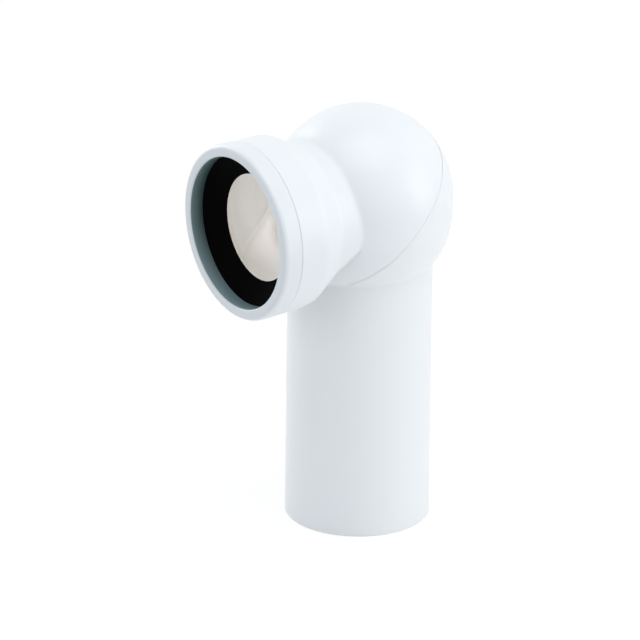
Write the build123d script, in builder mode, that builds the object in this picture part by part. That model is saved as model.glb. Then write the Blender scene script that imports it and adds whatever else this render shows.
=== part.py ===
"""Drain pipe bend: a 90 degree connector from a pan outlet to an upright soil pipe.

Millimetres, +Z up. The origin is the centre of the spigot's bottom end, and the mouth faces -Y.
"""
import os
from build123d import *

# Spigot and ball
spigot_radius = 55.0
wall = 3.2
spigot_edge = 0.6
mouth_height = 254.0
ball_swell = 14.6
ball_straight = 10.8
joint_blend = 2.0

# Weld line, where the two mouldings of the ball were joined on a slanting plane
weld_offset = 4.2
weld_width = 0.7
weld_depth = 0.2
weld_margin = 3.0

# Slanting flat under the socket and neck, parallel to the weld line's plane, which starts on the neck's joint
# with the ball this far below the mouth's axis
chin_drop = 9.2

# Neck, cone and socket, measured along the mouth's axis
neck_step = 3.2
neck_reach = 58.0
cone_length = 18.0
cone_blend = 6.0
cone_rise = 9.3
socket_length = 24.5
socket_wall = 3.5
socket_edge = 0.4

# Retaining ring, a channel that snaps over the socket's end
ring_step = 0.5
ring_depth = 16.0
ring_face = 3.4
ring_gap = 0.5
ring_edge = 3.8
skirt_wall = 2.0
skirt_edge = 0.5
snap_height = 0.5
snap_width = 2.4
snap_inset = 2.5
rim_width = 9.3
mouth_edge = 1.6
sleeve_depth = 11.4

# Lip seal, which hugs the ring's sleeve and reaches inwards
seal_wall = 2.2
seal_flange = 2.6
lip_reach = 17.5
lip_depth = 21.2
lip_overlap = 0.6
lip_thickness = 2.0
lip_edge = 0.7

# Clearances between the pieces
fit_gap = 0.1
end_gap = 0.2

# Radii that follow from the spigot's, step by step towards the mouth
ball_radius = spigot_radius + ball_swell
neck_radius = spigot_radius + neck_step
socket_radius = neck_radius + cone_rise
ring_radius = socket_radius + ring_step
mouth_radius = ring_radius - rim_width
lip_hole_radius = mouth_radius - lip_reach

# Places that follow from the sizes above
neck_joint_reach = (ball_radius**2 - neck_radius**2) ** 0.5
chin_offset = (neck_joint_reach - chin_drop) / 2**0.5
mouth_reach = neck_reach + cone_length + socket_length + ring_depth
cone_mouth_depth = ring_depth + socket_length
cone_neck_depth = cone_mouth_depth + cone_length
spigot_bore_radius = spigot_radius - wall
ball_bore_radius = ball_radius - wall
neck_bore_radius = neck_radius - wall
socket_bore_radius = socket_radius - socket_wall
skirt_bore_radius = ring_radius - skirt_wall
seat_radius = skirt_bore_radius - fit_gap
seal_outer_radius = socket_bore_radius - fit_gap
seal_inner_radius = seal_outer_radius - seal_wall
sleeve_outer_radius = seal_inner_radius - fit_gap
skirt_end = ring_depth - ring_gap
snap_depth = skirt_end - snap_inset
seal_front = ring_face + end_gap
flange_front = sleeve_depth + fit_gap
flange_back = flange_front + seal_flange
lip_root_radius = mouth_radius - lip_overlap

mouth_axis = Axis((0, 0, mouth_height), (0, -1, 0))
# On this plane x is the depth behind the mouth's face and y the radius about the mouth's axis
mouth_plane = Plane(origin=(0, -mouth_reach, mouth_height), x_dir=(0, 1, 0), z_dir=(1, 0, 0))
weld_direction = Vector(0, 1, -1).normalized()
axes_crossing = Plane(origin=(0, 0, mouth_height), x_dir=(1, 0, 0), z_dir=weld_direction)
weld_plane = axes_crossing.offset(weld_offset)
chin_plane = axes_crossing.offset(-chin_offset)
chin_bore_plane = chin_plane.offset(-wall)


def ball_foot_height(pipe_radius, dome_radius):
    """Height at which a pipe runs into the ball on top of it."""
    return mouth_height - ball_straight / 2 - (dome_radius**2 - pipe_radius**2) ** 0.5


def upright_outline(pipe_radius, dome_radius):
    """Half outline of the pipe with its ball on top, to be turned about the pipe's axis."""
    foot = ball_foot_height(pipe_radius, dome_radius)
    lower_centre = mouth_height - ball_straight / 2
    upper_centre = mouth_height + ball_straight / 2
    with BuildLine() as outline:
        Polyline((0, upper_centre + dome_radius), (0, 0), (pipe_radius, 0), (pipe_radius, foot))
        RadiusArc((pipe_radius, foot), (dome_radius, lower_centre), -dome_radius)
        Line((dome_radius, lower_centre), (dome_radius, upper_centre))
        RadiusArc((dome_radius, upper_centre), (0, upper_centre + dome_radius), -dome_radius)
    return outline.line


def branch_outline(neck, socket, *front):
    """Half outline of neck, cone, socket and the front that is given, to be turned about the mouth's axis."""
    with BuildLine() as outline:
        Polyline(
            (mouth_reach, 0),
            (mouth_reach, neck),
            (cone_neck_depth, neck),
            (cone_mouth_depth, socket),
            *front,
            close=True,
        )
    return outline.line


def cone_ends(sketch):
    """The two corners of a branch outline where its cone starts and ends."""
    return sketch.vertices().filter_by_position(Axis.X, cone_mouth_depth, cone_neck_depth)


def corners_at(sketch, depth, radius):
    """The corner of a mouth section at this depth and radius."""
    return sketch.vertices().filter_by_position(Axis.X, depth, depth).filter_by_position(Axis.Y, radius, radius)


def snap_outline(room):
    """Section of the ring's snap bead, or with room around it, of the groove that takes it."""
    half_foot = snap_width / 2 + room
    half_crest = snap_width / 4 + room
    with BuildLine() as outline:
        Polyline(
            (snap_depth - half_foot, skirt_bore_radius),
            (snap_depth - half_crest, skirt_bore_radius - snap_height - room),
            (snap_depth + half_crest, skirt_bore_radius - snap_height - room),
            (snap_depth + half_foot, skirt_bore_radius),
            close=True,
        )
    return outline.line


# Slanting ring that cuts the weld line into the ball, ending short of the neck
with BuildPart() as weld_cutter:
    with BuildSketch(weld_plane):
        Circle(ball_radius + ball_straight)
    extrude(amount=weld_width / 2, both=True)
    with BuildSketch(Plane.XZ):
        add(upright_outline(spigot_radius, ball_radius - weld_depth))
        make_face()
    revolve(axis=Axis.Z, mode=Mode.SUBTRACT)
    with BuildSketch(mouth_plane):
        Rectangle(mouth_reach, neck_radius + weld_margin, align=Align.MIN)
    revolve(axis=mouth_axis, mode=Mode.SUBTRACT)

# Waterway: the inside of the spigot, ball, neck, cone and socket, with a ramp above the slanting flat
with BuildPart() as waterway:
    with BuildSketch(mouth_plane) as branch_bore:
        add(branch_outline(neck_bore_radius, socket_bore_radius, (0, socket_bore_radius), (0, 0)))
        make_face()
        fillet(cone_ends(branch_bore), radius=cone_blend)
    revolve(axis=mouth_axis)
    with BuildSketch(chin_bore_plane):
        Rectangle(2 * mouth_reach, 2 * mouth_reach)
    extrude(amount=2 * mouth_reach, mode=Mode.SUBTRACT)
    with BuildSketch(Plane.XZ):
        add(upright_outline(spigot_bore_radius, ball_bore_radius))
        make_face()
    revolve(axis=Axis.Z)

# Bend: spigot, ball, neck, cone and socket as one hollow moulding, with a seat for the ring
with BuildPart() as bend_body:
    with BuildSketch(mouth_plane) as branch:
        seat = [(ring_depth, socket_radius), (ring_depth, seat_radius), (ring_face, seat_radius), (ring_face, 0)]
        add(branch_outline(neck_radius, socket_radius, *seat))
        make_face()
        fillet(cone_ends(branch), radius=cone_blend)
        fillet(corners_at(branch, ring_depth, socket_radius), radius=socket_edge)
    revolve(axis=mouth_axis)
    with BuildSketch(chin_plane):
        Rectangle(2 * mouth_reach, 2 * mouth_reach)
    extrude(amount=2 * mouth_reach, mode=Mode.SUBTRACT)
    with BuildSketch(Plane.XZ):
        add(upright_outline(spigot_radius, ball_radius))
        make_face()
    revolve(axis=Axis.Z)
    neck_joint = bend_body.edges(Select.NEW).filter_by(GeomType.BSPLINE)
    foot = ball_foot_height(spigot_radius, ball_radius)
    ball_foot = bend_body.edges().filter_by(GeomType.CIRCLE).filter_by_position(Axis.Z, foot - 1, foot + 1)
    fillet(neck_joint + ball_foot, radius=joint_blend)
    add(weld_cutter.part, mode=Mode.SUBTRACT)
    with BuildSketch(mouth_plane):
        add(snap_outline(fit_gap))
        make_face()
    revolve(axis=mouth_axis, mode=Mode.SUBTRACT)
    add(waterway.part, mode=Mode.SUBTRACT)
    fillet(bend_body.faces().sort_by(Axis.Z)[0].edges(), radius=spigot_edge)

# Retaining ring: face, outer skirt with its snap bead, and inner sleeve
with BuildPart() as retaining_ring:
    with BuildSketch(mouth_plane) as ring_section:
        with BuildLine():
            Polyline(
                (0, mouth_radius),
                (0, ring_radius),
                (skirt_end, ring_radius),
                (skirt_end, skirt_bore_radius),
                (ring_face, skirt_bore_radius),
                (ring_face, sleeve_outer_radius),
                (sleeve_depth, sleeve_outer_radius),
                (sleeve_depth, mouth_radius),
                close=True,
            )
        make_face()
        fillet(corners_at(ring_section, 0, ring_radius), radius=ring_edge)
        fillet(corners_at(ring_section, 0, mouth_radius), radius=mouth_edge)
        fillet(corners_at(ring_section, skirt_end, ring_radius), radius=skirt_edge)
        add(snap_outline(0))
        make_face()
    revolve(axis=mouth_axis)

# Lip seal: sleeve around the ring's sleeve, flange behind it, and the lip that slopes inwards
with BuildPart() as lip_seal:
    with BuildSketch(mouth_plane) as seal_section:
        lip_slope = Vector(lip_depth - flange_front, lip_hole_radius - lip_root_radius).normalized()
        lip_back = Vector(-lip_slope.Y, lip_slope.X) * lip_thickness
        tip = Vector(lip_depth, lip_hole_radius)
        back_run = (flange_back - tip.X - lip_back.X) / lip_slope.X
        with BuildLine():
            Polyline(
                (seal_front, seal_inner_radius),
                (seal_front, seal_outer_radius),
                (flange_back, seal_outer_radius),
                tip + lip_back + lip_slope * back_run,
                tip + lip_back,
                tip,
                (flange_front, lip_root_radius),
                (flange_front, seal_inner_radius),
                close=True,
            )
        make_face()
        lip_corners = seal_section.vertices().sort_by(Axis.Y)[0:2]
        fillet(lip_corners, radius=lip_edge)
    revolve(axis=mouth_axis)

os.makedirs("parts", exist_ok=True)
bend_body.part.label = "bend_body"
export_step(bend_body.part, "parts/bend_body.step")
retaining_ring.part.label = "retaining_ring"
export_step(retaining_ring.part, "parts/retaining_ring.step")
lip_seal.part.label = "lip_seal"
export_step(lip_seal.part, "parts/lip_seal.step")
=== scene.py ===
import math

import bpy
from mathutils import Matrix, Vector

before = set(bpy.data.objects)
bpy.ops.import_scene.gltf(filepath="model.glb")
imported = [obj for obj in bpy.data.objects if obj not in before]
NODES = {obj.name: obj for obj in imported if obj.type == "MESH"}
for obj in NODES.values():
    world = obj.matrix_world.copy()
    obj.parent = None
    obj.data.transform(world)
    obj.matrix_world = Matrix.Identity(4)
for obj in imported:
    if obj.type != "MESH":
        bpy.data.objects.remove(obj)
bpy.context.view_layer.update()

# Places in the row frame, in metres
MOUTH_HEIGHT = 0.254
MOUTH_REACH = 0.1165
CONE_FRONT, CONE_BACK = -0.0765, -0.058
HALF_BALL_STRAIGHT = 0.0054

# Radii of the bores, and radii within the walls, which part the inside from the outside
NECK_BORE, SOCKET_BORE = 0.0550, 0.0640
BALL_WALL, PIPE_WALL, NECK_WALL, SOCKET_WALL = 0.0680, 0.0534, 0.0566, 0.0650
RING_WALL = 0.0591

# Slanting planes: the weld line and the ramp, as distances from the crossing of the axes, and the wall under
# the ramp, as the difference of the places along y and z
WELD_OFFSET = 0.0042
RAMP_OFFSET = -0.0237
FLAT_WALL = -0.0313
SLANT = 0.7071

# Colours of the plastic: above and below the weld line, the mouth side a shade darker as painted shade;
# painted shade in its corners; painted light on its weld line; and inside it, warm painted light through the
# walls, darker towards the socket as painted shade, with a painted glow on the ramp
UPPER_PALE, UPPER_DULL = (0.858, 0.889, 0.912, 1), (0.838, 0.872, 0.897, 1)
LOWER_PALE, LOWER_DULL = (0.870, 0.897, 0.917, 1), (0.850, 0.880, 0.902, 1)
CORNER_SHADE = (0.73, 0.745, 0.745, 1)
WELD_PALE = (0.97, 0.98, 0.99, 1)
SOCKET_INSIDE = (0.86, 0.77, 0.67, 1)
CONE_INSIDE = (0.91, 0.82, 0.72, 1)
NECK_INSIDE = (0.97, 0.885, 0.80, 1)
RAMP_LIGHT = (1.0, 0.92, 0.85, 1)

# Colours of the ring: its skirt, its face, darker as painted shade, and the painted shade down its bore,
# darker with depth and lighter towards the bottom
RING_PALE, RING_DULL = (0.825, 0.860, 0.888, 1), (0.805, 0.843, 0.873, 1)
RING_FACE_SHADE = (0.70, 0.745, 0.78, 1)
BORE_SHADE_FRONT, BORE_SHADE_BACK = (0.21, 0.31, 0.33, 1), (0.046, 0.083, 0.088, 1)
BORE_SHADE_LOW = (0.30, 0.42, 0.46, 1)

# Colours of the rubber
RUBBER_BLACK, RUBBER_BLOOM = (0.0008, 0.0008, 0.0009, 1), (0.0018, 0.0018, 0.0019, 1)

# Gloss and orange peel, the same for both mouldings
GLOSS_LOW, GLOSS_HIGH = 0.31, 0.38
PLASTIC_SPECULAR = 0.4
PLASTIC_IOR = 1.5
PEEL_SCALE, PEEL_STRENGTH, PEEL_DEPTH = 700.0, 0.012, 0.0004

# Camera, matched to the photograph: angles, distance, pixels per metre, and the pixel of the axes' crossing
AZIMUTH, ELEVATION, ROLL = math.radians(54.8), math.radians(23.2), math.radians(0.737)
DISTANCE, SCALE = 9.0, 1321.7
CROSSING_X, CROSSING_Y = 361.0, 200.77
PICTURE = 640
SENSOR = 36

# Point that the lamps look at, and their distance from it
CENTRE = (0, -0.02, 0.2)
LAMP_DISTANCE = 2.0


class Tree:
    """A material's node tree with short ways to add nodes and links."""

    def __init__(self, name):
        self.material = bpy.data.materials.new(name)
        self.material.use_nodes = True
        self.nodes = self.material.node_tree.nodes
        self.links = self.material.node_tree.links
        self.shader = self.nodes["Principled BSDF"]

    def feed(self, socket, value):
        """Link another node's output to a socket, or set the socket to a plain value."""
        if isinstance(value, bpy.types.NodeSocket):
            self.links.new(value, socket)
        else:
            socket.default_value = value

    def add(self, kind, **inputs):
        node = self.nodes.new(kind)
        for key, value in inputs.items():
            self.feed(node.inputs[key], value)
        return node

    def math(self, operation, a, b=0.0):
        node = self.nodes.new("ShaderNodeMath")
        node.operation = operation
        for socket, value in zip(node.inputs, (a, b)):
            self.feed(socket, value)
        return node.outputs[0]

    def remap(self, value, low, high, to_low=0.0, to_high=1.0):
        node = self.nodes.new("ShaderNodeMapRange")
        node.clamp = True
        keys = ("Value", "From Min", "From Max", "To Min", "To Max")
        for key, number in zip(keys, (value, low, high, to_low, to_high)):
            self.feed(node.inputs[key], number)
        return node.outputs["Result"]

    def mix(self, factor, a, b):
        node = self.nodes.new("ShaderNodeMix")
        node.data_type = "RGBA"
        for socket, value in zip((node.inputs[0], node.inputs[6], node.inputs[7]), (factor, a, b)):
            self.feed(socket, value)
        return node.outputs[2]

    def noise(self, place, scale, detail, roughness):
        node = self.add("ShaderNodeTexNoise", Vector=place, Scale=scale, Detail=detail, Roughness=roughness)
        return node.outputs["Fac"]

    def place(self):
        """The place on the piece, whole and as its three parts."""
        whole = self.add("ShaderNodeTexCoord").outputs["Object"]
        parts = self.add("ShaderNodeSeparateXYZ", Vector=whole)
        return whole, parts.outputs["X"], parts.outputs["Y"], parts.outputs["Z"]

    def length(self, a, b):
        """Length of a flat vector from its two parts."""
        return self.math("SQRT", self.math("ADD", self.math("MULTIPLY", a, a), self.math("MULTIPLY", b, b)))

    def set(self, key, value):
        self.feed(self.shader.inputs[key], value)


def inside_mask(t, x, y, up):
    """One inside the bend's walls and nothing outside them, from the place alone."""
    past_straight = t.math("MAXIMUM", t.math("SUBTRACT", t.math("ABSOLUTE", up), HALF_BALL_STRAIGHT), 0.0)
    from_mouth = t.length(x, up)
    from_pipe = t.length(x, y)
    in_ball = t.math("LESS_THAN", t.length(from_pipe, past_straight), BALL_WALL)
    in_pipe = t.math("MULTIPLY", t.math("LESS_THAN", from_pipe, PIPE_WALL), t.math("LESS_THAN", up, 0.0))
    above_flat = t.math("LESS_THAN", t.math("SUBTRACT", y, up), FLAT_WALL)
    in_neck = t.math("MULTIPLY", above_flat, t.math("LESS_THAN", from_mouth, NECK_WALL))
    cone_wall = t.remap(y, CONE_FRONT, CONE_BACK, SOCKET_WALL, NECK_WALL)
    wide = t.math("MULTIPLY", t.math("LESS_THAN", from_mouth, cone_wall), t.math("LESS_THAN", y, CONE_BACK))
    in_socket = t.math("MULTIPLY", above_flat, wide)
    return t.math("MAXIMUM", t.math("MAXIMUM", in_ball, in_pipe), t.math("MAXIMUM", in_neck, in_socket))


def outer_colour(t, place, z, across):
    """White with faint flow clouds, paler beyond the weld line as painted light, so the mouth side reads as
    painted shade, paler on the weld near the top as painted light over its groove's shade, and darker in the
    corners as painted shade.
    """
    cloud = t.remap(t.noise(place, 7.0, 2.0, 0.4), 0.2, 0.8)
    # Painted shade and light: the mouth side of the weld line is a shade darker than the far side
    upper = t.mix(cloud, UPPER_PALE, UPPER_DULL)
    lower = t.mix(cloud, LOWER_PALE, LOWER_DULL)
    colour = t.mix(t.remap(across, WELD_OFFSET - 0.002, WELD_OFFSET + 0.002), upper, lower)
    # Painted shade: darker in the corners, where the parts hide each other from the light
    corner = t.add("ShaderNodeAmbientOcclusion", Distance=0.06)
    corner.only_local = True
    corner.samples = 8
    colour = t.mix(t.remap(corner.outputs["AO"], 0.35, 0.95), CORNER_SHADE, colour)
    # Painted light: the weld's groove is paled near the top, over the shade in the groove
    weld = t.math("LESS_THAN", t.math("ABSOLUTE", t.math("SUBTRACT", across, WELD_OFFSET)), 0.0006)
    weld = t.math("MULTIPLY", weld, t.remap(z, MOUTH_HEIGHT - 0.045, MOUTH_HEIGHT - 0.015))
    return t.mix(weld, colour, WELD_PALE)


def inner_colour(t, y):
    """Warm tones as painted light through the walls, darker and browner from the neck through the cone to the
    socket as painted shade.
    """
    colour = t.mix(t.remap(y, CONE_FRONT - 0.0005, CONE_FRONT + 0.001), SOCKET_INSIDE, CONE_INSIDE)
    return t.mix(t.remap(y, CONE_BACK - 0.001, CONE_BACK + 0.0005), colour, NECK_INSIDE)


def ramp_glow(t, x, y, up, across):
    """Painted light: a faint glow on the ramp inside the neck, stronger the deeper it lies and the further
    from the wall.
    """
    near_ramp = t.remap(t.math("ABSOLUTE", t.math("SUBTRACT", across, RAMP_OFFSET)), 0.0003, 0.0022, 1.0, 0.0)
    out_of_ball = t.remap(t.length(x, t.length(y, up)), 0.062, 0.066)
    wall = t.remap(y, CONE_FRONT, CONE_BACK, SOCKET_BORE, NECK_BORE)
    off_wall = t.math("SUBTRACT", wall, t.length(x, up))
    deep = t.math("MULTIPLY", t.remap(y, -0.076, -0.053, 0.12, 0.43), out_of_ball)
    deep = t.math("MULTIPLY", deep, t.remap(off_wall, 0.0, 0.0080, 0.32, 1.0))
    return t.math("MULTIPLY", near_ramp, deep)


def gloss(t, place, smear_scale, normal=None):
    """Gloss with faint smears, and a little orange peel on top of the normal that is given."""
    t.set("Roughness", t.remap(t.noise(place, smear_scale, 2.0, 0.4), 0.2, 0.8, GLOSS_LOW, GLOSS_HIGH))
    t.set("Specular IOR Level", PLASTIC_SPECULAR)
    t.set("IOR", PLASTIC_IOR)
    peel = t.noise(place, PEEL_SCALE, 2.0, 0.5)
    bump = t.add("ShaderNodeBump", Strength=PEEL_STRENGTH, Distance=PEEL_DEPTH, Height=peel)
    if normal:
        t.feed(bump.inputs["Normal"], normal)
    t.set("Normal", bump.outputs["Normal"])


def white_plastic(name):
    """Glossy moulded plastic with soft creases, and with walls that let warm light inside; the inside also
    carries warm painted light and a painted glow on the ramp.
    """
    t = Tree(name)
    place, x, y, z = t.place()
    up = t.math("SUBTRACT", z, MOUTH_HEIGHT)
    across = t.math("MULTIPLY", t.math("SUBTRACT", y, up), SLANT)
    inside = inside_mask(t, x, y, up)
    # Inside: warm tones as painted light through the walls, with painted shade towards the socket
    t.set("Base Color", t.mix(inside, outer_colour(t, place, z, across), inner_colour(t, y)))
    by_mouth = t.remap(y, -0.088, -0.080, 0.001, 0.006)
    by_pipe = t.remap(z, 0.15, 0.18, 0.001, 0.006)
    crease = t.math("MAXIMUM", t.math("MINIMUM", by_mouth, by_pipe), t.remap(inside, 0.0, 1.0, 0.0, 0.012))
    soft = t.add("ShaderNodeBevel", Radius=crease)
    soft.samples = 6
    gloss(t, place, 22.0, soft.outputs["Normal"])
    # Painted light: a faint warm glow on the ramp inside the neck
    t.set("Emission Color", RAMP_LIGHT)
    t.set("Emission Strength", t.math("MULTIPLY", inside, ramp_glow(t, x, y, up, across)))
    clear = t.math("MAXIMUM", t.remap(y, -0.0765, -0.0585, 0.84, 1.0), t.math("SUBTRACT", 1.0, inside))
    t.set("Subsurface Weight", t.math("MULTIPLY", t.remap(inside, 0.0, 1.0, 0.06, 1.0), clear))
    t.set("Subsurface Radius", (1.0, 0.88, 0.78))
    t.set("Subsurface Scale", t.remap(inside, 0.0, 1.0, 0.002, 0.032))
    return t.material


def ring_plastic(name):
    """The same plastic, a little greyer, with painted shade on its face, and dark down the ring's bore as
    painted shade, darker with depth and lighter towards the bottom.
    """
    t = Tree(name)
    place, x, y, z = t.place()
    up = t.math("SUBTRACT", z, MOUTH_HEIGHT)
    depth = t.math("ADD", y, MOUTH_REACH)
    # Painted shade down the ring's bore: darker with depth, lighter towards the bottom
    bore_shade = t.mix(t.remap(depth, 0.001, 0.0105), BORE_SHADE_FRONT, BORE_SHADE_BACK)
    bore_shade = t.mix(t.remap(up, -0.015, -0.055, 0.0, 0.45), bore_shade, BORE_SHADE_LOW)
    cloud = t.remap(t.noise(place, 9.0, 2.0, 0.4), 0.2, 0.8)
    skirt = t.mix(cloud, RING_PALE, RING_DULL)
    # Painted shade on the ring's front face
    face = t.mix(t.remap(depth, 0.0002, 0.0014, 1.0, 0.0), skirt, RING_FACE_SHADE)
    in_bore = t.math("LESS_THAN", t.length(x, up), RING_WALL)
    in_shaded_bore = t.math("MULTIPLY", in_bore, t.math("GREATER_THAN", depth, 0.0007))
    t.set("Base Color", t.mix(in_shaded_bore, face, bore_shade))
    gloss(t, place, 26.0)
    return t.material


def rubber(name):
    """Black rubber: nearly matt, with a fine grain and a faint dusty bloom."""
    t = Tree(name)
    place = t.add("ShaderNodeTexCoord").outputs["Object"]
    bloom = t.noise(place, 30.0, 4.0, 0.6)
    t.set("Base Color", t.mix(t.remap(bloom, 0.4, 0.75), RUBBER_BLACK, RUBBER_BLOOM))
    t.set("Roughness", t.remap(bloom, 0.3, 0.7, 0.60, 0.72))
    t.set("Specular IOR Level", 0.02)
    grain = t.noise(place, 900.0, 2.0, 0.6)
    bump = t.add("ShaderNodeBump", Strength=0.08, Distance=0.0003, Height=grain)
    t.set("Normal", bump.outputs["Normal"])
    return t.material


body = white_plastic("white plastic")
ring = ring_plastic("ring plastic")
seal = rubber("black rubber")
for node, material in (("bend_body", body), ("retaining_ring", ring), ("lip_seal", seal)):
    for slot in NODES[node].material_slots:
        slot.material = material

# Camera
back = Vector((
    math.sin(AZIMUTH) * math.cos(ELEVATION),
    -math.cos(AZIMUTH) * math.cos(ELEVATION),
    math.sin(ELEVATION),
))
right = Vector((math.cos(AZIMUTH), math.sin(AZIMUTH), 0))
up = back.cross(right)
side = right * math.cos(ROLL) + up * math.sin(ROLL)
top = up * math.cos(ROLL) - right * math.sin(ROLL)
aim = Vector((0, 0, MOUTH_HEIGHT))
aim = aim - side * ((CROSSING_X - PICTURE / 2) / SCALE) + top * ((CROSSING_Y - PICTURE / 2) / SCALE)
camera = bpy.data.cameras.new("camera")
camera.sensor_width = SENSOR
camera.lens = SCALE * DISTANCE * SENSOR / PICTURE
camera.clip_start = 0.1
camera.clip_end = 100
eye = bpy.data.objects.new("camera", camera)
turn = Matrix((side, top, back)).transposed()
eye.matrix_world = Matrix.Translation(aim + back * DISTANCE) @ turn.to_4x4()
bpy.context.scene.collection.objects.link(eye)
bpy.context.scene.camera = eye


def seen(tree):
    """One for rays that show the background: from the camera, or by way of a gloss or a clear piece."""
    path = tree.nodes.new("ShaderNodeLightPath")
    rays = path.outputs["Is Camera Ray"]
    for kind in ("Is Glossy Ray", "Is Transmission Ray"):
        either = tree.nodes.new("ShaderNodeMath")
        either.operation = "MAXIMUM"
        tree.links.new(rays, either.inputs[0])
        tree.links.new(path.outputs[kind], either.inputs[1])
        rays = either.outputs[0]
    return rays


# Pale floor under the pipe's end, white to the camera but for a trace of the shadow
bpy.ops.mesh.primitive_plane_add(size=60, location=(0, 0, -0.0004))
floor = bpy.context.object
floor.name = "floor"
t = Tree("floor")
t.set("Base Color", (0.92, 0.92, 0.92, 1))
t.set("Roughness", 0.9)
t.set("Specular IOR Level", 0.0)
glow = t.add("ShaderNodeEmission", Color=(1, 1, 1, 1), Strength=1.04)
blend = t.nodes.new("ShaderNodeMixShader")
t.links.new(t.math("MULTIPLY", seen(t.material.node_tree), 0.85), blend.inputs[0])
t.links.new(t.shader.outputs[0], blend.inputs[1])
t.links.new(glow.outputs[0], blend.inputs[2])
t.links.new(blend.outputs[0], t.nodes["Material Output"].inputs["Surface"])
floor.data.materials.append(t.material)


def around(azimuth, elevation):
    """A lamp's place around the object, in the same angles as the camera's."""
    a, e = math.radians(azimuth), math.radians(elevation)
    direction = Vector((math.sin(a) * math.cos(e), -math.cos(a) * math.cos(e), math.sin(e)))
    return direction * LAMP_DISTANCE + Vector(CENTRE)


def lamp(name, place, width, height, power):
    """A soft area lamp that looks at the object."""
    data = bpy.data.lights.new(name, "AREA")
    data.shape = "RECTANGLE"
    data.size = width
    data.size_y = height
    data.energy = power
    lit = bpy.data.objects.new(name, data)
    lit.location = place
    lit.rotation_euler = (Vector(CENTRE) - place).to_track_quat("-Z", "Y").to_euler()
    bpy.context.scene.collection.objects.link(lit)


# Soft studio light
lamp("top", around(60, 78), 1.6, 1.6, 17)
lamp("right", around(135, 9), 0.9, 1.6, 14)
lamp("left", around(-80, 14), 0.9, 1.6, 11)
lamp("front", around(-12, 14), 1.0, 1.0, 2.4)

# Bluish sky light on the object, and a white background
world = bpy.data.worlds.new("world")
bpy.context.scene.world = world
world.use_nodes = True
nodes, links = world.node_tree.nodes, world.node_tree.links
sky = nodes["Background"]
sky.inputs["Color"].default_value = (0.93, 0.965, 1.0, 1)
sky.inputs["Strength"].default_value = 0.55
white = nodes.new("ShaderNodeBackground")
white.inputs["Color"].default_value = (1, 1, 1, 1)
white.inputs["Strength"].default_value = 1.0
pick = nodes.new("ShaderNodeMixShader")
links.new(seen(world.node_tree), pick.inputs[0])
links.new(sky.outputs[0], pick.inputs[1])
links.new(white.outputs[0], pick.inputs[2])
links.new(pick.outputs[0], nodes["World Output"].inputs["Surface"])
bpy.context.scene.view_settings.view_transform = "Standard"
